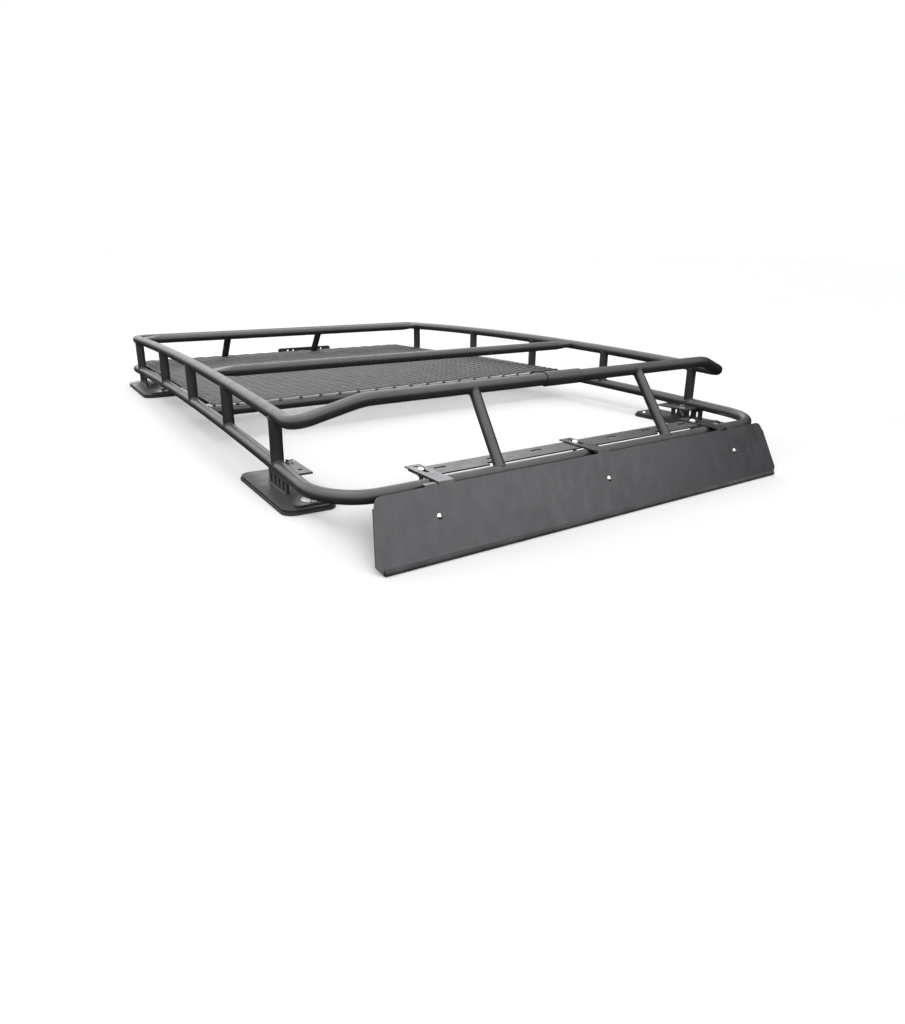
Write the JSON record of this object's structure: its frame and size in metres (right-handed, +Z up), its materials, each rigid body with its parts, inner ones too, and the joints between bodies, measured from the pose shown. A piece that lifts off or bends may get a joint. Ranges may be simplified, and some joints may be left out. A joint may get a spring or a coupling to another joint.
{
  "type": "roof cargo basket",
  "caption": "Tubular steel roof cargo basket with two rails, mesh floor, roof feet, lamp bracket and slotted wind deflector.",
  "frame": {"origin": "middle of the bounding box in X and Y, at the height of its lowest point, the deflector's rubber trim; the feet's undersides are at z = 0.0679 m", "axes": "X across the vehicle, -Y towards the vehicle's front, +Z up"},
  "size_m": [1.2496, 1.7134, 0.2657],
  "materials": {
    "tube_coat": "satin black powder coat on steel tube",
    "mesh_coat": "satin black powder coat on expanded steel",
    "sheet_coat": "fine-textured black powder coat on sheet",
    "stainless": "stainless fasteners",
    "pad_rubber": "black moulded rubber",
    "trim_rubber": "black extruded rubber"
  },
  "bodies": {
    "basket": {"upper_front_bar_left": "tube_coat", "upper_front_bar_right": "tube_coat", "upper_side_rail_left": "tube_coat", "upper_side_rail_right": "tube_coat", "upper_rear_bar": "tube_coat", "upper_coupler": "tube_coat", "lower_front_bar_left": "tube_coat", "lower_front_bar_right": "tube_coat", "lower_side_rail_left": "tube_coat", "lower_side_rail_right": "tube_coat", "lower_rear_bar": "tube_coat", "lower_coupler": "tube_coat", "post_left_1": "tube_coat", "post_left_2": "tube_coat", "post_left_3": "tube_coat", "post_left_4": "tube_coat", "post_left_5": "tube_coat", "post_right_1": "tube_coat", "post_right_2": "tube_coat", "post_right_3": "tube_coat", "post_right_4": "tube_coat", "post_right_5": "tube_coat", "front_strut_left": "tube_coat", "front_strut_right": "tube_coat", "rear_strut_left": "tube_coat", "rear_strut_right": "tube_coat", "mid_crossbar": "tube_coat", "rear_crossbar": "tube_coat", "floor_crossbar_front": "tube_coat", "floor_crossbar_mid": "tube_coat", "floor_crossbar_rear": "tube_coat", "mesh_floor": "mesh_coat", "rear_plate": "tube_coat", "light_bracket": "tube_coat", "foot_pad_front_left": "pad_rubber", "foot_pad_front_right": "pad_rubber", "foot_pad_rear_left": "pad_rubber", "foot_pad_rear_right": "pad_rubber", "foot_base_front_left": "tube_coat", "foot_base_front_right": "tube_coat", "foot_base_rear_left": "tube_coat", "foot_base_rear_right": "tube_coat", "foot_riser_front_left": "tube_coat", "foot_riser_front_right": "tube_coat", "foot_riser_rear_left": "tube_coat", "foot_riser_rear_right": "tube_coat", "rail_tabs": "tube_coat", "foot_clamp_plates": "tube_coat", "foot_bolts": "stainless", "foot_screws": "stainless", "flange_bolts": "stainless", "tab_bolts": "stainless", "tab_nuts": "stainless"},
    "deflector": {"deflector_panel": "sheet_coat", "deflector_trim": "trim_rubber", "deflector_braces": "sheet_coat", "face_screws": "stainless", "face_nuts": "stainless"}
  },
  "joints": [
    {"name": "deflector_slide", "type": "slide", "parent": "basket", "child": "deflector", "axis": [0, 1, 0], "range_m": [-0.018, 0.012]}
  ]
}
